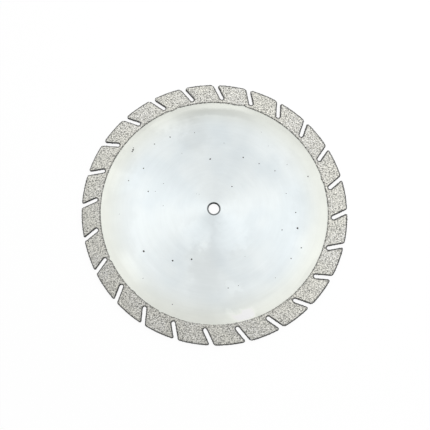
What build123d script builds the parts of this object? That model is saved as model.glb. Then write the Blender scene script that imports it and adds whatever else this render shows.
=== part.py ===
from build123d import *
from math import atan2, degrees, radians, sin, sqrt
import os

# Diamond cutting disc for a small mandrel: a thin steel disc with leaning slots in its rim,
# and a rough coat of diamond grit and nickel over the rim. Sizes are in millimetres.
# The origin is the middle of the bore, half-way through the steel. The faces look along Z.

# Steel disc
OUTER_DIAMETER = 45.0
STEEL_THICKNESS = 0.3
BORE_DIAMETER = 1.8
BORE_FRONT_ROLL_WIDTH = 0.18
BORE_FRONT_ROLL_DEPTH = 0.09
BORE_BACK_BREAK = 0.04

# Slots as punched in the steel, before the coat narrows them
SLOT_COUNT = 24
SLOT_WIDTH = 0.8
SLOT_DEPTH = 2.6
SLOT_LEAN = 26.6
FIRST_SLOT_DIRECTION = 40.6
SHARP_CORNER_CUT = 0.15
BLUNT_CORNER_CUT = 0.2

# Coat, measured over its grit, and the etched ground that it grips
COAT_THICKNESS = 0.15
COAT_PAST_SLOTS = 0.55
COAT_STEP_BREAK = 0.06
ETCH_DEPTH = 0.01

# Sizes that follow
bore_radius = BORE_DIAMETER / 2
steel_radius = OUTER_DIAMETER / 2 - COAT_THICKNESS
band_radius = steel_radius - SLOT_DEPTH - COAT_PAST_SLOTS
rim_thickness = STEEL_THICKNESS + 2 * COAT_THICKNESS
slot_pitch = 360 / SLOT_COUNT
# A slot is straight, and its line passes the disc's centre at this distance
slot_offset = steel_radius * sin(radians(SLOT_LEAN))
slot_start = sqrt((steel_radius - SLOT_DEPTH + SLOT_WIDTH / 2) ** 2 - slot_offset**2)
slot_mouth = sqrt(steel_radius**2 - slot_offset**2)
slot_run = slot_mouth - slot_start + SLOT_WIDTH


def turn_from_slot(corner):
    """Degrees round the rim from the middle of the nearest slot's mouth to a corner."""
    turn = degrees(atan2(corner.Y, corner.X)) - (FIRST_SLOT_DIRECTION - SLOT_LEAN)
    return (turn + slot_pitch / 2) % slot_pitch - slot_pitch / 2


# Blank as punched: a tooth between each two slots, with a sharp and a blunt corner, both cut off
with BuildSketch() as blank_outline:
    Circle(steel_radius)
    with PolarLocations(0, SLOT_COUNT, FIRST_SLOT_DIRECTION):
        with Locations((slot_start + slot_run / 2, -slot_offset)):
            SlotCenterToCenter(slot_run, SLOT_WIDTH, mode=Mode.SUBTRACT)
    corners = blank_outline.vertices().sort_by_distance((0, 0))[-2 * SLOT_COUNT :]
    sharp_corners = corners.filter_by(lambda corner: turn_from_slot(corner) < 0)
    blunt_corners = corners.filter_by(lambda corner: turn_from_slot(corner) > 0)
    chamfer(sharp_corners, SHARP_CORNER_CUT)
    chamfer(blunt_corners, BLUNT_CORNER_CUT)

# Rim as plated: the coat grows out of the blank by the same thickness all round
with BuildSketch() as coated_outline:
    add(blank_outline.sketch)
    offset(amount=COAT_THICKNESS)

# Steel core: punched sheet with lapped faces, etched a little thinner where the coat holds on
with BuildPart() as steel_core:
    with BuildSketch(Plane.XY.offset(-STEEL_THICKNESS / 2)):
        Circle(band_radius)
        Circle(bore_radius, mode=Mode.SUBTRACT)
    extrude(amount=STEEL_THICKNESS)
    bore_edges = steel_core.edges().filter_by(GeomType.CIRCLE).group_by(SortBy.RADIUS)[0]
    back_edge, front_edge = bore_edges.sort_by(Axis.Z)
    front_face = steel_core.faces().sort_by(Axis.Z)[-1]
    chamfer(front_edge, BORE_FRONT_ROLL_WIDTH, BORE_FRONT_ROLL_DEPTH, reference=front_face)
    chamfer(back_edge, BORE_BACK_BREAK)
    with BuildSketch(Plane.XY.offset(ETCH_DEPTH - STEEL_THICKNESS / 2)):
        add(blank_outline.sketch)
        Circle(band_radius, mode=Mode.SUBTRACT)
    extrude(amount=STEEL_THICKNESS - 2 * ETCH_DEPTH)
steel_core.part.label = "steel_core"

# Diamond rim: one closed layer of grit and nickel over both faces, the edge and the slots' walls
with BuildPart() as diamond_rim:
    with BuildSketch(Plane.XY.offset(-rim_thickness / 2)):
        add(coated_outline.sketch)
        Circle(band_radius, mode=Mode.SUBTRACT)
    extrude(amount=rim_thickness)
    step_edges = diamond_rim.edges().filter_by(GeomType.CIRCLE).sort_by(SortBy.LENGTH)[-2:]
    chamfer(step_edges, COAT_STEP_BREAK)
    add(steel_core.part, mode=Mode.SUBTRACT)
diamond_rim.part.label = "diamond_rim"

os.makedirs("parts", exist_ok=True)
for piece in (steel_core, diamond_rim):
    export_step(piece.part, f"parts/{piece.part.label}.step")
    print(piece.part.label, round(piece.part.volume, 2), "cubic mm")
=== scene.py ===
from math import cos, pi, radians, sin, tau

import bmesh
import bpy
import numpy as np
from mathutils import Matrix, Vector


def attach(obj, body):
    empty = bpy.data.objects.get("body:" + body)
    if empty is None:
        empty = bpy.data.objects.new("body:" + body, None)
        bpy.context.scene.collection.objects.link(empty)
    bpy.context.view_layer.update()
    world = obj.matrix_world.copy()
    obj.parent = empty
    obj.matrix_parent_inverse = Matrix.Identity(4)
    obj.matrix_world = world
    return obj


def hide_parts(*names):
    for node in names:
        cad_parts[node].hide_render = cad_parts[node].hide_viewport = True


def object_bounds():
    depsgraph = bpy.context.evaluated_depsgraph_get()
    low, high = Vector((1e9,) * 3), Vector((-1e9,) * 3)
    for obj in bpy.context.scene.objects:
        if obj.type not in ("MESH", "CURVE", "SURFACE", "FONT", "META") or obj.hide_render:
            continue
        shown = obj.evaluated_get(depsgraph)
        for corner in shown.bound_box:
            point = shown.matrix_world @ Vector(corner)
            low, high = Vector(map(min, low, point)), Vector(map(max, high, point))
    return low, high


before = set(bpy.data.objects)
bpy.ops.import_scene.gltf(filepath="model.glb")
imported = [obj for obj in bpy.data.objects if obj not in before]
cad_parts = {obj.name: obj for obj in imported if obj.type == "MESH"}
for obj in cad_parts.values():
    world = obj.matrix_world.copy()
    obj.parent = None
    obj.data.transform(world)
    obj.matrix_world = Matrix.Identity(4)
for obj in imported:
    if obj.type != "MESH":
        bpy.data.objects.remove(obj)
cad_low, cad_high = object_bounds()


# Camera
# It looks almost straight down on the disc, from the photograph's place. Sizes in this script
# are in millimetres, and a new piece goes to the frame's metres once its mesh is finished.
MM = 0.001
CAMERA_PLACE = (-2.52, -19.16, 85.3)
CAMERA_TURNS = (11.98, 0.92, 0.4)
CAMERA_SENSOR = 36.0
CAMERA_LENS = 43.15
CAMERA_SHIFT = 0.058
CAMERA_NEAREST = 1.0
CAMERA_FARTHEST = 20000.0

camera_data = bpy.data.cameras.new("camera")
camera_data.sensor_width = CAMERA_SENSOR
camera_data.lens = CAMERA_LENS
camera_data.shift_x = CAMERA_SHIFT
camera_data.clip_start = CAMERA_NEAREST * MM
camera_data.clip_end = CAMERA_FARTHEST * MM
camera = bpy.data.objects.new("camera", camera_data)
camera.location = [step * MM for step in CAMERA_PLACE]
camera.rotation_euler = [radians(turn) for turn in CAMERA_TURNS]
bpy.context.collection.objects.link(camera)
bpy.context.scene.camera = camera
bpy.context.scene.view_settings.view_transform = "Standard"


# Floor
# A plain white table top that the disc lies on, level with the lowest grit of its far face.
# Its own light is seen only by the camera, in gloss and through glass, so the disc gets none.
FLOOR_WIDTH = 6000.0
FLOOR_WHITE = (0.9, 0.9, 0.9, 1.0)
FLOOR_OWN_LIGHT = 0.93
PURE_WHITE = (1.0, 1.0, 1.0, 1.0)


class Signal:
    """A socket's value in a node tree. Arithmetic on it adds Math nodes."""

    def __init__(self, nodes, socket):
        self.nodes = nodes
        self.socket = socket

    def math(self, operation, *values):
        return self.nodes.add("Math", {"operation": operation}, dict(enumerate(values)))

    def __add__(self, other):
        return self.math("ADD", self, other)

    def __radd__(self, other):
        return self.math("ADD", other, self)

    def __sub__(self, other):
        return self.math("SUBTRACT", self, other)

    def __rsub__(self, other):
        return self.math("SUBTRACT", other, self)

    def __mul__(self, other):
        return self.math("MULTIPLY", self, other)

    def __rmul__(self, other):
        return self.math("MULTIPLY", other, self)

    def __truediv__(self, other):
        return self.math("DIVIDE", self, other)

    def largest(self, other):
        return self.math("MAXIMUM", self, other)

    def square_root(self):
        return self.math("SQRT", self)

    def ramp(self, low, high, start=0.0, end=1.0):
        """Goes smoothly from start, where this is low, to end, where it is high."""
        inputs = {"Value": self, "From Min": low, "From Max": high, "To Min": start, "To Max": end}
        return self.nodes.add("MapRange", {"interpolation_type": "SMOOTHSTEP"}, inputs)


class Nodes:
    """The node tree of a material or world, emptied, with one call that adds a node."""

    def __init__(self, owner):
        owner.use_nodes = True
        self.tree = owner.node_tree
        self.tree.nodes.clear()

    def add(self, kind, settings=None, inputs=None, output=0):
        node = self.tree.nodes.new("ShaderNode" + kind)
        for name, setting in (settings or {}).items():
            setattr(node, name, setting)
        for name, value in (inputs or {}).items():
            if isinstance(value, Signal):
                self.tree.links.new(value.socket, node.inputs[name])
            else:
                node.inputs[name].default_value = value
        return Signal(self, node.outputs[output])

    def blend(self, factor, first, second):
        """Colour that goes from first to second as factor goes from 0 to 1."""
        inputs = {0: factor, 6: first, 7: second}
        return self.add("Mix", {"data_type": "RGBA"}, inputs, output=2)

    def finish(self, shader, kind="OutputMaterial"):
        """Joins the last shader to the tree's output."""
        output = self.tree.nodes.new("ShaderNode" + kind)
        self.tree.links.new(shader.socket, output.inputs["Surface"])


def deselect():
    """Leaves nothing selected, so that an operator acts only on what comes next."""
    bpy.ops.object.select_all(action="DESELECT")


deselect()
bpy.ops.mesh.primitive_plane_add(size=FLOOR_WIDTH * MM, location=(0, 0, cad_low.z))
floor = bpy.context.object
floor.name = "floor"
bpy.ops.object.transform_apply()

table_top = bpy.data.materials.new("white_table_top")
paint = Nodes(table_top)
seen = paint.add("LightPath", output="Is Camera Ray")
seen = seen.largest(paint.add("LightPath", output="Is Glossy Ray"))
seen = seen.largest(paint.add("LightPath", output="Is Transmission Ray"))
lit = paint.add("BsdfDiffuse", None, {"Color": FLOOR_WHITE})
own_light = paint.add("Emission", None, {"Color": PURE_WHITE, "Strength": 1.0})
paint.finish(paint.add("MixShader", None, {0: seen * FLOOR_OWN_LIGHT, 1: lit, 2: own_light}))
floor.data.materials.append(table_top)


# Light
# A white tent over the table, dimmer towards the horizon and dark towards the front, with a
# soft box on either side. The boxes draw the bright fans of a face that is lapped in circles.
TENT_TOP = 0.9
TENT_TOP_FROM = 0.75
TENT_HORIZON = 0.3
TENT_FRONT = 0.06
TENT_FRONT_FROM = -0.25
TENT_FRONT_TO = -0.75
BOX_SIZE = 340.0
BOX_PLACES = ((-300.0, 65.0, 330.0), (300.0, -10.0, 330.0))
BOX_RADIANCES = (0.8, 0.68)
FILL_SIZE = 90.0
FILL_PLACE = (50.0, 55.0, 80.0)
FILL_RADIANCE = 2.4

world = bpy.data.worlds.new("tent")
bpy.context.scene.world = world
tent = Nodes(world)
way = tent.add("TexCoord", output="Generated")
way_back = tent.add("SeparateXYZ", None, {0: way}, output="Y")
way_up = tent.add("SeparateXYZ", None, {0: way}, output="Z")
glow = way_up.ramp(0.0, TENT_TOP_FROM, TENT_HORIZON, TENT_TOP)
glow = glow * way_back.ramp(TENT_FRONT_TO, TENT_FRONT_FROM, TENT_FRONT, 1.0)
seen = tent.add("LightPath", output="Is Camera Ray")
cloth = tent.add("Background", None, {"Color": PURE_WHITE, "Strength": glow + seen * (1 - glow)})
tent.finish(cloth, "OutputWorld")


def add_lamp(name, size, place, radiance):
    """A square lamp that faces the disc's middle."""
    data = bpy.data.lights.new(name, "AREA")
    data.size = size * MM
    data.energy = radiance * pi * (size * MM) ** 2
    lamp = bpy.data.objects.new(name, data)
    lamp.location = [step * MM for step in place]
    lamp.rotation_euler = (-lamp.location).to_track_quat("-Z", "Y").to_euler()
    bpy.context.collection.objects.link(lamp)
    return lamp


for box_place, box_radiance in zip(BOX_PLACES, BOX_RADIANCES):
    add_lamp("soft_box", BOX_SIZE, box_place, box_radiance)
fill = add_lamp("fill", FILL_SIZE, FILL_PLACE, FILL_RADIANCE)
fill.visible_glossy = False


# Steel disc
# A thin blank of hard rolled steel with a bore for the mandrel's screw, lapped flat in circles,
# so that its marks run round the bore. The coat is plated on its rim.
STEEL_BRIGHT = (0.875, 0.925, 0.93, 1.0)
STEEL_COOL = (0.81, 0.87, 0.89, 1.0)
STEEL_WARM = (0.855, 0.875, 0.815, 1.0)
STEEL_ANISOTROPY = 0.58
QUARTER_TURN = 0.25
STEEL_ROUGHNESS = 0.36
CLOUD_ROUGHNESS = 0.08
WARM_ROUGHNESS = 0.06
WARM_FROM_RADIUS = 14.0
COAT_INNER_RADIUS = 19.2
WAVES_PER_MM = 0.11
CLOUDS_PER_MM = 0.35
CLOUD_SHADE = 0.08
# The bore's rolled edge, dark with painted shade: where it starts, where it is full, how dark
# it is, and how much darker on its upper side, the painted shade of the wall that faces the camera
LIP_PAINTED_SHADE = (0.03, 0.033, 0.036, 1.0)
LIP_FROM_RADIUS = 1.22
LIP_FULL_RADIUS = 1.07
LIP_SHADE_SHARE = 0.88
LIP_SHADE_UPWARDS = 0.13
# Marks in rings: how fine they are from ring to ring, and how fast they change on the way round
LAP_RINGS_PER_MM = 9.0
LAP_BUMP_SHARE = 0.25
LAP_DEPTH = 0.002
LAP_SHADE = 0.04
STAIN_RINGS_PER_MM = 1.6
STAIN_SHADE = 0.07
CHANGE_ROUND = 2.0
# Lighter and darker patches on the face: millimetres across and up, reach each way, and how much lighter
# the face is there
FACE_PATCHES = ((-16.8, -1.5, 5.0, 11.0, -0.11), (17.0, -1.0, 5.0, 7.5, -0.06), (-15.4, 9.0, 3.0, 3.0, -0.07),
         (-3.4, 13.0, 3.2, 4.0, -0.08), (-1.6, -10.5, 3.6, 6.5, -0.07), (-3.2, -4.2, 3.2, 3.2, 0.1),
         (3.0, -4.6, 3.6, 4.2, 0.11), (-8.8, 15.4, 3.2, 2.2, 0.09), (4.7, -17.5, 3.0, 1.3, 0.16),
         (3.3, -13.4, 1.4, 1.4, 0.06), (10.5, 11.5, 5.0, 4.5, 0.05), (-16.0, 5.0, 3.5, 3.0, 0.04))
# Stains in arcs: degrees from the right, reach in degrees, radius, reach across, and lighter
ARCS = ((88.0, 26.0, 17.6, 0.9, -0.13), (104.0, 16.0, 16.9, 1.6, -0.06), (84.0, 20.0, 18.7, 0.8, 0.11),
        (290.0, 24.0, 18.2, 1.4, 0.08), (217.0, 14.0, 16.9, 1.4, 0.06), (260.0, 18.0, 17.8, 1.2, -0.02),
        (325.0, 14.0, 18.9, 0.5, -0.05), (128.0, 14.0, 18.9, 0.5, -0.06), (42.0, 12.0, 18.8, 0.6, -0.05))
PATCH_DRIFT = 5.0
ARC_DRIFT = 0.2

steel = bpy.data.materials.new("lapped_steel")
face = Nodes(steel)
place = face.add("TexCoord", output="Object")
place_mm = face.add("VectorMath", {"operation": "SCALE"}, {0: place, "Scale": 1 / MM})
across = face.add("SeparateXYZ", None, {0: place_mm}, output="X")
up = face.add("SeparateXYZ", None, {0: place_mm}, output="Y")
radius = (across * across + up * up).square_root()


def ring_noise(rings_per_mm, detail, roughness):
    """Noise drawn out round the bore, which changes from ring to ring."""
    spot = {0: across / radius * CHANGE_ROUND, 1: up / radius * CHANGE_ROUND, 2: radius * rings_per_mm}
    rings = face.add("CombineXYZ", None, spot)
    inputs = {"Vector": rings, "Scale": 1.0, "Detail": detail, "Roughness": roughness}
    return face.add("TexNoise", None, inputs)


lap = ring_noise(LAP_RINGS_PER_MM, 3.0, 0.6)
stains = ring_noise(STAIN_RINGS_PER_MM, 2.0, 0.7)
wave_inputs = {"Vector": place_mm, "Scale": WAVES_PER_MM, "Detail": 2.0, "Roughness": 0.5}
wave = face.add("TexNoise", None, wave_inputs)
cloud_inputs = {"Vector": place_mm, "Scale": CLOUDS_PER_MM, "Detail": 3.0, "Roughness": 0.6}
cloud = face.add("TexNoise", None, cloud_inputs)

warmth = radius.ramp(WARM_FROM_RADIUS, COAT_INNER_RADIUS)
# Painted shade on the bore's lip, darker on its upper side
lip_painted_shade = radius.ramp(LIP_FROM_RADIUS, LIP_FULL_RADIUS) * (LIP_SHADE_SHARE + LIP_SHADE_UPWARDS * up / radius)
tint = face.blend(wave.ramp(0.4, 0.62), STEEL_BRIGHT, STEEL_COOL)
tint = face.blend(warmth, tint, STEEL_WARM)
tint = face.blend(lip_painted_shade, tint, LIP_PAINTED_SHADE)

shade = 1 - (cloud - 0.5) * CLOUD_SHADE - (lap - 0.5) * LAP_SHADE - (stains - 0.5) * STAIN_SHADE
drift = (cloud - 0.5) * PATCH_DRIFT
# The darker patches at the left and right near the rim are painted shade that dims the bright fans there
for patch_across, patch_up, reach_across, reach_up, lighter in FACE_PATCHES:
    off_across = (across + drift - patch_across) / reach_across
    off_up = (up - drift - patch_up) / reach_up
    shade = shade + (off_across * off_across + off_up * off_up).ramp(1, 0) * lighter
for middle, reach_round, arc_radius, reach_across, lighter in ARCS:
    towards = (across * cos(radians(middle)) + up * sin(radians(middle))) / radius
    off_radius = (radius + drift * ARC_DRIFT - arc_radius) / reach_across
    arc = towards.ramp(cos(radians(reach_round)), 1) * (off_radius * off_radius).ramp(1, 0)
    shade = shade + arc * lighter
tint = face.add("VectorMath", {"operation": "SCALE"}, {0: tint, "Scale": shade})

bump_inputs = {"Strength": LAP_BUMP_SHARE, "Distance": LAP_DEPTH * MM, "Height": lap}
lap_marks = face.add("Bump", None, bump_inputs)
metal = face.add("BsdfPrincipled", None, {
    "Base Color": tint,
    "Metallic": 1.0,
    "Roughness": STEEL_ROUGHNESS + (cloud - 0.5) * CLOUD_ROUGHNESS + warmth * WARM_ROUGHNESS,
    "Anisotropic": STEEL_ANISOTROPY,
    "Anisotropic Rotation": QUARTER_TURN,
    "Normal": lap_marks,
})
face.finish(metal)

steel_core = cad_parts["steel_core"]
for slot in steel_core.material_slots:
    slot.material = steel


# Nickel bond
# Nickel plated over the rim's edge, both of its faces and the walls of the slots, which holds
# the grit. It ends at a hand-painted stop-off line, so its inner edge is a little ragged.
OUTER_RADIUS = 22.5
COAT_HALF_HEIGHT = 0.3
GRIT_PROUD = 0.07
SLOT_COUNT = 24
SLOT_CLEAR = 0.5
SLOT_START = 17.489
SLOT_OFFSET = 10.007
SLOT_END_STEPS = 12
FIRST_SLOT_TURN = 40.6
SHARP_CORNER = 0.2
BLUNT_CORNER = 0.4
CORNER_STEPS = 8
PAST_RIM = 1.2
RIM_SIDES = 720
STOP_LINE_SIDES = 1440
CUTTER_HEIGHT = 2.0
BOND_GRAIN = 0.102
LUMP_SIZE = 0.28
LUMP_HEIGHT = 0.05
# The stop-off line: its wobble, most of all where the brush shook, and its faults, each with
# degrees from the right, half-width in degrees and reach outwards
LINE_WOBBLE = 0.03
STEADY_SHARE = 0.35
FRONT_TURN = 272
SHAKY_HALF_WIDTH = 38
LINE_FAULTS = ((74.2, 1.6, 0.2), (79.0, 1.2, -0.1), (16.0, 1.2, -0.16), (206.5, 0.8, 0.2),
               (243.0, 0.7, 0.25), (112.0, 1.5, -0.1), (109.0, 0.8, 0.12), (227.0, 1.0, -0.1))
# Degrees from the right, half-width in degrees and how much thicker the plating is on the rim's edge
RIM_BUILD_UP = ((105.0, 50.0, 0.15), (300.0, 35.0, 0.06), (198.0, 22.0, -0.06))

# Waves of the stop-off line: how many go round the disc, where each starts and its size
chance = np.random.default_rng(24)
harmonics = [(count, chance.uniform(0, tau), chance.normal(0, 1)) for count in range(30, 300, 9)]
rim_radius = OUTER_RADIUS - GRIT_PROUD
bond_half_height = COAT_HALF_HEIGHT - GRIT_PROUD
slot_half_width = SLOT_CLEAR / 2 + GRIT_PROUD


def with_swells(reach, turn, swells):
    """The reach, with a smooth swell added in each of the swells' directions."""
    for middle, half_width, height in swells:
        away = (np.degrees(turn) - middle + 180) % 360 - 180
        reach = reach + height * np.exp(-((away / half_width) ** 2))
    return reach


def frontness(turn, half_width):
    """1 towards the disc's front, where the brush shook most and the edges' painted shade fades, and less
    away from it.
    """
    away = np.degrees(turn) % 360 - FRONT_TURN
    return np.exp(-((away / half_width) ** 2))


def line_radius(turn):
    """Radius of the stop-off line, at angles in radians, as an array."""
    wobble = sum(size * np.sin(count * turn + phase) / count**0.5 for count, phase, size in harmonics)
    ragged = STEADY_SHARE + (1 - STEADY_SHARE) * frontness(turn, SHAKY_HALF_WIDTH)
    return with_swells(COAT_INNER_RADIUS + LINE_WOBBLE * ragged * wobble, turn, LINE_FAULTS)


def rim_reach(turn):
    """Radius of the finished rim over its grit, at angles in radians, as an array."""
    return with_swells(OUTER_RADIUS, turn, RIM_BUILD_UP)


def bond_reach(turn):
    return rim_reach(turn) - GRIT_PROUD


def edit_mesh(piece):
    """The piece's mesh, opened for work on its vertices in code."""
    shape = bmesh.new()
    shape.from_mesh(piece.data)
    return shape


def close_mesh(piece, shape):
    shape.to_mesh(piece.data)
    shape.free()
    piece.data.update()


def add_round(name, sides, radius, height, reach_at):
    """A cylinder round the bore, with its outline then moved to where reach_at puts it."""
    deselect()
    bpy.ops.mesh.primitive_cylinder_add(vertices=sides, radius=radius, depth=height)
    piece = bpy.context.object
    piece.name = name
    shape = edit_mesh(piece)
    for vertex in shape.verts:
        turn = np.arctan2(vertex.co.y, vertex.co.x)
        vertex.co.xy = Vector((cos(turn), sin(turn))) * float(reach_at(turn))
    close_mesh(piece, shape)
    return piece


def apply_modifier(piece, kind, **settings):
    """Adds one modifier, sets it and applies it."""
    deselect()
    bpy.context.view_layer.objects.active = piece
    piece.select_set(True)
    modifier = piece.modifiers.new(kind.lower(), kind)
    for name, setting in settings.items():
        setattr(modifier, name, setting)
    bpy.ops.object.modifier_apply(modifier=modifier.name)


def cut(piece, cutter):
    """Cuts the cutter's shape out of the piece and deletes the cutter."""
    apply_modifier(piece, "BOOLEAN", operation="DIFFERENCE", solver="EXACT", object=cutter)
    bpy.data.objects.remove(cutter)


def slot_outline():
    """Points round one slot, seen from above with its length along X, flared by the teeth's corners."""
    points = []
    for step in range(SLOT_END_STEPS + 1):
        turn = pi / 2 + pi * step / SLOT_END_STEPS
        points.append((SLOT_START + slot_half_width * cos(turn), slot_half_width * sin(turn) - SLOT_OFFSET))
    for side, corner in ((-1, SHARP_CORNER), (1, BLUNT_CORNER)):
        rounding = []
        wall = side * slot_half_width - SLOT_OFFSET
        middle_across = wall + side * corner
        middle_along = ((rim_radius - corner) ** 2 - middle_across**2) ** 0.5
        outward = np.arctan2(middle_across, middle_along)
        for step in range(CORNER_STEPS + 1):
            turn = -side * pi / 2 + (outward + side * pi / 2) * step / CORNER_STEPS
            rounding.append((middle_along + corner * cos(turn), middle_across + corner * sin(turn)))
        rounding.append((PAST_RIM * rounding[-1][0], PAST_RIM * rounding[-1][1]))
        points += rounding[::-side]
    return points


bond = add_round("nickel_bond", RIM_SIDES, rim_radius, 2 * bond_half_height, bond_reach)
cut(bond, add_round("bare_steel", STOP_LINE_SIDES, 1.0, CUTTER_HEIGHT, line_radius))

slot_mesh = bpy.data.meshes.new("slots")
outline = [(x, y, -CUTTER_HEIGHT / 2) for x, y in slot_outline()]
slot_mesh.from_pydata(outline, [], [range(len(outline))])
slots = bpy.data.objects.new("slots", slot_mesh)
bpy.context.collection.objects.link(slots)
deselect()
bpy.context.view_layer.objects.active = slots
slots.select_set(True)
bpy.ops.object.mode_set(mode="EDIT")
bpy.ops.mesh.select_all(action="SELECT")
bpy.ops.mesh.extrude_region_move(TRANSFORM_OT_translate={"value": (0, 0, CUTTER_HEIGHT)})
bpy.ops.mesh.select_all(action="SELECT")
bpy.ops.transform.rotate(value=-radians(FIRST_SLOT_TURN), orient_axis="Z", center_override=(0, 0, 0))
bpy.ops.mesh.spin(steps=SLOT_COUNT - 1, dupli=True, angle=tau * (1 - 1 / SLOT_COUNT),
                  center=(0, 0, 0), axis=(0, 0, 1))
bpy.ops.mesh.select_all(action="SELECT")
bpy.ops.mesh.normals_make_consistent(inside=False)
bpy.ops.object.mode_set(mode="OBJECT")
cut(bond, slots)

apply_modifier(bond, "REMESH", mode="VOXEL", voxel_size=BOND_GRAIN, use_smooth_shade=True)
lumps = bpy.data.textures.new("plating_lumps", "CLOUDS")
lumps.noise_scale = LUMP_SIZE
lumps.noise_depth = 2
apply_modifier(bond, "DISPLACE", texture=lumps, texture_coords="LOCAL", strength=LUMP_HEIGHT, mid_level=0.5)

BOND_LIGHT = (0.76, 0.75, 0.69, 1.0)
BOND_GRIMY = (0.2, 0.2, 0.18, 1.0)
BOND_METALLIC = 0.4
BOND_ROUGHNESS = 0.5
GRIME_SIZE = 0.24
GRIME_BUMP_SHARE = 0.5
GRIME_DEPTH = 0.02
# Painted shade: the plating and its grit are greyed towards the disc's front left
SHADED_SIDE = (-0.57, -0.82, 0.0)
PAINTED_SHADE_GREY = (0.05, 0.05, 0.05, 1.0)
PAINTED_SHADE_SHARE = 0.17
# Dark along the teeth's outline and at the stop-off line: partly nickel burnt where the current crowds,
# partly painted shade
BURNT_AND_SHADED_DARK = (0.03, 0.03, 0.028, 1.0)
DARK_EDGE_RIM_WIDTH = 0.2
DARK_EDGE_RIM_WIDER = 0.02
DARK_EDGE_RIM_WIDEST_TURN = 350
DARK_EDGE_RIM_BLUR = 0.1
DARK_EDGE_LINE_WIDTH = 0.09
DARK_EDGE_LINE_BLUR = 0.13
DARK_EDGE_LINE_SHARE = 0.7
DARK_EDGE_LINE_BLOTCHES = 0.2
DARK_EDGE_LINE_FADE = 0.6
DARK_EDGE_LINE_FADE_HALF_WIDTH = 34
FAR_INSIDE = 99.0


def vertex_places(piece):
    """The piece's vertices as rows of an array."""
    points = np.empty(len(piece.data.vertices) * 3)
    piece.data.vertices.foreach_get("co", points)
    return points.reshape(-1, 3)


def edge_depth(points):
    """How far each point lies in from the finished outline of the teeth, in millimetres."""
    depth = rim_reach(np.arctan2(points[:, 1], points[:, 0])) - np.hypot(points[:, 0], points[:, 1])
    for number in range(SLOT_COUNT):
        turn = radians(FIRST_SLOT_TURN) + tau * number / SLOT_COUNT
        along = points[:, 0] * cos(turn) + points[:, 1] * sin(turn)
        aside = points[:, 1] * cos(turn) - points[:, 0] * sin(turn) + SLOT_OFFSET
        before = np.maximum(SLOT_START - along, 0)
        to_wall = np.hypot(before, aside) - SLOT_CLEAR / 2
        depth = np.minimum(depth, np.where(along > 0, to_wall, FAR_INSIDE))
    return depth


def add_values(piece, name, values):
    """Stores one number for each vertex, which a material can read by this name."""
    attribute = piece.data.attributes.new(name, "FLOAT", "POINT")
    attribute.data.foreach_set("value", values.astype(np.float32))


def mark_edges(piece):
    """Gives each vertex its darkness along the edges, 0 to 1: partly burnt nickel, partly painted shade."""
    points = vertex_places(piece)
    turn = np.arctan2(points[:, 1], points[:, 0])
    rim_width = DARK_EDGE_RIM_WIDTH + DARK_EDGE_RIM_WIDER * np.cos(turn - radians(DARK_EDGE_RIM_WIDEST_TURN))
    rim = np.clip(1 - (edge_depth(points) - rim_width) / DARK_EDGE_RIM_BLUR, 0, 1)
    past_line = np.hypot(points[:, 0], points[:, 1]) - line_radius(turn)
    line = np.clip(1 - (past_line - DARK_EDGE_LINE_WIDTH) / DARK_EDGE_LINE_BLUR, 0, 1)
    blotches = sum(size * np.sin(count * turn + 2 * phase) for count, phase, size in harmonics) / 3
    dark = DARK_EDGE_LINE_SHARE + DARK_EDGE_LINE_BLOTCHES * np.clip(blotches, -1.5, 1.5)
    # The stop-off line's painted shade fades towards the front
    faded = DARK_EDGE_LINE_FADE * frontness(turn, DARK_EDGE_LINE_FADE_HALF_WIDTH)
    add_values(piece, "burnt_and_shade", np.maximum(rim, dark * line * (1 - faded)))


def shaded_to_one_side(nodes, place, tint):
    """The tint, greyed with painted shade towards one side of the disc."""
    inputs = {0: place, 1: SHADED_SIDE}
    towards = nodes.add("VectorMath", {"operation": "DOT_PRODUCT"}, inputs, output="Value")
    side_shade = (towards / (OUTER_RADIUS * MM)).ramp(-0.1, 1.0)
    return nodes.blend(side_shade * PAINTED_SHADE_SHARE, tint, PAINTED_SHADE_GREY)


def put_in_place(piece):
    """Brings a piece modelled in millimetres to the frame's metres."""
    piece.data.transform(Matrix.Scale(MM, 4))
    piece.data.update()


mark_edges(bond)
nickel = bpy.data.materials.new("nickel_bond")
skin = Nodes(nickel)
burnt_and_shade = skin.add("Attribute", {"attribute_name": "burnt_and_shade"}, output="Fac")
place = skin.add("TexCoord", output="Object")
grime_inputs = {"Vector": place, "Scale": 1 / (GRIME_SIZE * MM), "Detail": 3.0, "Roughness": 0.7}
grime = skin.add("TexNoise", None, grime_inputs)
# Greyed with painted shade towards one side
tint = shaded_to_one_side(skin, place, skin.blend(grime.ramp(0.45, 0.6), BOND_LIGHT, BOND_GRIMY))
# Darkened along the edges: partly burnt nickel, partly painted shade
tint = skin.blend(burnt_and_shade, tint, BURNT_AND_SHADED_DARK)
bump_inputs = {"Strength": GRIME_BUMP_SHARE, "Distance": GRIME_DEPTH * MM, "Height": grime}
grime_marks = skin.add("Bump", None, bump_inputs)
metal = skin.add("BsdfPrincipled", None, {
    "Base Color": tint,
    "Metallic": BOND_METALLIC,
    "Roughness": BOND_ROUGHNESS,
    "Normal": grime_marks,
})
skin.finish(metal)
bond.data.materials.append(nickel)


# Diamond grit
# One layer of coarse blocky diamond crystals held by the nickel, on both faces, the rim's edge
# and the walls of the slots. Each stands a little proud, and no two lie alike.
GRIT_SEEDS = {"places": 5, "tumble": 2, "size": 3}
GRIT_RADIUS = 0.115
GRIT_SMALLEST = 0.6
GRIT_FLATNESS = 0.62
GRIT_SPACING = 0.2
GRIT_TRIES_PER_MM2 = 120.0
GRIT_TILT = 25.0
CRYSTAL_KINDS = 5
CRYSTAL_ROUGH = (0.8, 1.05)
GRIT_TONE_SPREAD = (0.6, 0.42)
STEEL_HALF_HEIGHT = 0.15
HIDDEN_WALL_RADIUS = 19.9

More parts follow.
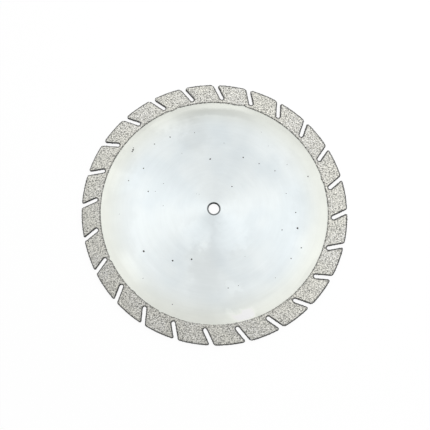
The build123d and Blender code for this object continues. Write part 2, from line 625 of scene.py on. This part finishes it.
crystals = bpy.data.collections.new("crystals")
for kind in range(CRYSTAL_KINDS):
    deselect()
    bpy.ops.mesh.primitive_cube_add(size=1.0)
    crystal = bpy.context.object
    crystal.name = "crystal_%d" % kind
    bpy.ops.object.mode_set(mode="EDIT")
    bpy.ops.mesh.bevel(offset_type="PERCENT", offset_pct=50, affect="VERTICES")
    bpy.ops.mesh.select_all(action="SELECT")
    bpy.ops.mesh.remove_doubles(threshold=0.001)
    bpy.ops.mesh.normals_make_consistent(inside=False)
    bpy.ops.object.mode_set(mode="OBJECT")
    for vertex in crystal.data.vertices:
        vertex.co = vertex.co * (1 / vertex.co.length) * Vector(chance.uniform(*CRYSTAL_ROUGH, 3))
        vertex.co.z *= GRIT_FLATNESS
    crystals.objects.link(crystal)
    bpy.context.collection.objects.unlink(crystal)
per_crystal = len(crystal.data.vertices)


class Scatter:
    """A geometry node group, with one call that adds a node."""

    def __init__(self, name):
        self.tree = bpy.data.node_groups.new(name, "GeometryNodeTree")
        for way in ("INPUT", "OUTPUT"):
            self.tree.interface.new_socket("Geometry", in_out=way, socket_type="NodeSocketGeometry")

    def add(self, kind, settings=None, inputs=None):
        node = self.tree.nodes.new(kind)
        for name, setting in (settings or {}).items():
            setattr(node, name, setting)
        for name, value in (inputs or {}).items():
            if isinstance(value, bpy.types.NodeSocket):
                self.tree.links.new(value, node.inputs[name])
            else:
                node.inputs[name].default_value = value
        return node.outputs


scatter = Scatter("grit_scatter")
surface = scatter.add("NodeGroupInput")["Geometry"]
spots = scatter.add(
    "GeometryNodeDistributePointsOnFaces",
    {"distribute_method": "POISSON"},
    {
        "Mesh": surface,
        "Distance Min": GRIT_SPACING,
        "Density Max": GRIT_TRIES_PER_MM2,
        "Seed": GRIT_SEEDS["places"],
    },
)
sunk = scatter.add(
    "ShaderNodeVectorMath",
    {"operation": "SCALE"},
    {0: spots["Normal"], "Scale": GRIT_PROUD - GRIT_RADIUS * GRIT_FLATNESS},
)
seats = scatter.add(
    "GeometryNodeSetPosition",
    None,
    {"Geometry": spots["Points"], "Offset": sunk["Vector"]},
)
tilt = radians(GRIT_TILT)
tumble = scatter.add(
    "FunctionNodeRandomValue",
    {"data_type": "FLOAT_VECTOR"},
    {0: (-tilt, -tilt, 0), 1: (tilt, tilt, tau), "Seed": GRIT_SEEDS["tumble"]},
)
lie = scatter.add(
    "FunctionNodeRotateRotation",
    {"rotation_space": "LOCAL"},
    {"Rotation": spots["Rotation"], "Rotate By": tumble[0]},
)
size = scatter.add(
    "FunctionNodeRandomValue",
    {"data_type": "FLOAT"},
    {2: GRIT_SMALLEST * GRIT_RADIUS, 3: GRIT_RADIUS, "Seed": GRIT_SEEDS["size"]},
)
kinds = scatter.add(
    "GeometryNodeCollectionInfo",
    None,
    {"Collection": crystals, "Separate Children": True, "Reset Children": True},
)
grains = scatter.add(
    "GeometryNodeInstanceOnPoints",
    None,
    {
        "Points": seats["Geometry"],
        "Instance": kinds["Instances"],
        "Pick Instance": True,
        "Rotation": lie[0],
        "Scale": size[1],
    },
)
solid = scatter.add("GeometryNodeRealizeInstances", None, {"Geometry": grains["Instances"]})
scatter.add("NodeGroupOutput", None, {"Geometry": solid["Geometry"]})


def add_copy(piece, name):
    """A copy of the piece with its own mesh."""
    copy = piece.copy()
    copy.data = piece.data.copy()
    copy.name = name
    bpy.context.collection.objects.link(copy)
    return copy


# No crystal grows on the wall where the nickel meets the steel's own edge
grit = add_copy(bond, "grit")
shape = edit_mesh(grit)
hidden = []
for facet in shape.faces:
    middle = facet.calc_center_median()
    if abs(middle.z) < STEEL_HALF_HEIGHT and middle.xy.length < HIDDEN_WALL_RADIUS:
        hidden.append(facet)
bmesh.ops.delete(shape, geom=hidden, context="FACES")
close_mesh(grit, shape)
apply_modifier(grit, "NODES", node_group=scatter.tree)

# Dressing takes the highest crystals down to the coat's own height
points = vertex_places(grit)
points[:, 2] = np.clip(points[:, 2], -COAT_HALF_HEIGHT, COAT_HALF_HEIGHT)
grit.data.vertices.foreach_set("co", points.ravel())
middles = points.reshape(-1, per_crystal, 3).mean(axis=1)
grit.data.attributes.remove(grit.data.attributes["burnt_and_shade"])
mark_edges(grit)
tones = chance.beta(*GRIT_TONE_SPREAD, len(middles))
add_values(grit, "tone", np.repeat(tones, per_crystal))

GRIT_DARK = (0.1, 0.1, 0.095, 1.0)
GRIT_WHITE = (0.93, 0.93, 0.93, 1.0)
GRIT_YELLOWISH = (0.94, 0.93, 0.84, 1.0)
GRIT_DARK_EDGE_SHARE = 0.95
GRIT_ROUGHNESS = 0.3
GRIT_REFRACTION = 2.0
BATCH_SIZE = 6.0

diamond = bpy.data.materials.new("diamond_grit")
gem = Nodes(diamond)
burnt_and_shade = gem.add("Attribute", {"attribute_name": "burnt_and_shade"}, output="Fac")
tone = gem.add("Attribute", {"attribute_name": "tone"}, output="Fac")
place = gem.add("TexCoord", output="Object")
batch = gem.add("TexNoise", None, {"Vector": place, "Scale": 1 / (BATCH_SIZE * MM), "Detail": 2.0})
pale = gem.blend(batch.ramp(0.4, 0.62), GRIT_WHITE, GRIT_YELLOWISH)
# The grit gets the same painted shade towards one side
tint = shaded_to_one_side(gem, place, gem.blend(tone, GRIT_DARK, pale))
# Darkened along the edges: partly burnt nickel, partly painted shade
tint = gem.blend(burnt_and_shade * GRIT_DARK_EDGE_SHARE, tint, BURNT_AND_SHADED_DARK)
gem_inputs = {"Base Color": tint, "Roughness": GRIT_ROUGHNESS, "IOR": GRIT_REFRACTION}
gem.finish(gem.add("BsdfPrincipled", None, gem_inputs))
grit.data.materials.clear()
grit.data.materials.append(diamond)

# One piece for each face and one for the edges, by the height of a crystal's middle
coats = [bond]
heights = middles[:, 2]
for name, lowest, highest in (
    ("grit_front", STEEL_HALF_HEIGHT, 1.0),
    ("grit_back", -1.0, -STEEL_HALF_HEIGHT),
    ("grit_edges", -STEEL_HALF_HEIGHT, STEEL_HALF_HEIGHT),
):
    layer = add_copy(grit, name)
    shape = edit_mesh(layer)
    elsewhere = (heights <= lowest) | (heights > highest)
    spare = [vertex for vertex in shape.verts if elsewhere[vertex.index // per_crystal]]
    bmesh.ops.delete(shape, geom=spare, context="VERTS")
    close_mesh(layer, shape)
    coats.append(layer)
bpy.data.objects.remove(grit)
for piece in coats:
    put_in_place(piece)
    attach(piece, "root")
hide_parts("diamond_rim")


# Stray grit
# Crystals that settled on the bare steel while the rim was plated, and stuck there under a
# little burnt nickel. Millimetres across and up from the bore's middle, and half-width.
STRAY_GRAINS = (
    (-10.3, 11.5, 0.1), (-7.6, 12.8, 0.11), (-3.35, 13.6, 0.08), (-12.1, 7.1, 0.11),
    (-14.6, 4.9, 0.1), (-11.2, 3.0, 0.11), (-0.6, 8.8, 0.15), (5.1, 9.1, 0.12),
    (7.8, 8.0, 0.09), (10.5, 6.7, 0.09), (16.1, 5.7, 0.12), (3.1, 3.9, 0.1),
    (13.8, -0.6, 0.11), (14.0, -3.3, 0.16), (11.4, -3.6, 0.1), (14.5, -6.6, 0.11),
    (12.75, -8.4, 0.09), (-11.7, -7.3, 0.17), (-6.85, -8.85, 0.15), (-3.7, -8.6, 0.15),
    (-6.8, -16.0, 0.08), (2.3, -13.3, 0.09), (4.0, -12.9, 0.06), (-10.0, 3.0, 0.06),
    (-8.6, 4.4, 0.06), (-8.6, 0.5, 0.06), (12.3, 2.7, 0.07), (1.8, 11.7, 0.06),
    (8.3, 13.7, 0.05), (9.5, 11.2, 0.04), (5.15, -8.1, 0.05), (10.1, -11.6, 0.06),
    (-16.0, -1.0, 0.05), (-2.9, 2.6, 0.04), (-2.5, 2.5, 0.04), (-5.5, 9.8, 0.05),
    (12.6, 7.8, 0.06), (-11.7, -11.8, 0.06),
    (-14.15, 10.15, 0.12), (-14.0, 10.45, 0.16), (-13.95, 10.8, 0.1))
STRAY_FLATNESS = 0.5
STRAY_ROUGH = (0.8, 1.15)
SOOT_DARK = (0.02, 0.02, 0.02, 1.0)
SOOT_PALE = (0.08, 0.075, 0.065, 1.0)
SOOT_GRAIN = 0.08
SOOT_ROUGHNESS = 0.55

strays = []
for across_mm, up_mm, half_width in STRAY_GRAINS:
    spot = (across_mm, up_mm, STEEL_HALF_HEIGHT)
    deselect()
    bpy.ops.mesh.primitive_ico_sphere_add(subdivisions=2, radius=half_width, location=spot)
    stray = bpy.context.object
    bpy.ops.object.mode_set(mode="EDIT")
    bpy.ops.transform.resize(value=(1, 1, STRAY_FLATNESS), center_override=spot)
    bpy.ops.object.mode_set(mode="OBJECT")
    for vertex in stray.data.vertices:
        vertex.co *= chance.uniform(*STRAY_ROUGH)
    strays.append(stray)
deselect()
for stray in strays:
    stray.select_set(True)
bpy.ops.object.join()
stray_grit = bpy.context.object
stray_grit.name = "stray_grit"
bpy.ops.object.transform_apply()

soot = bpy.data.materials.new("burnt_nickel")
crust = Nodes(soot)
place = crust.add("TexCoord", output="Object")
grain = crust.add("TexNoise", None, {"Vector": place, "Scale": 1 / (SOOT_GRAIN * MM), "Detail": 2.0})
tint = crust.blend(grain, SOOT_DARK, SOOT_PALE)
crust.finish(crust.add("BsdfPrincipled", None, {"Base Color": tint, "Roughness": SOOT_ROUGHNESS}))
stray_grit.data.materials.append(soot)
put_in_place(stray_grit)
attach(stray_grit, "root")
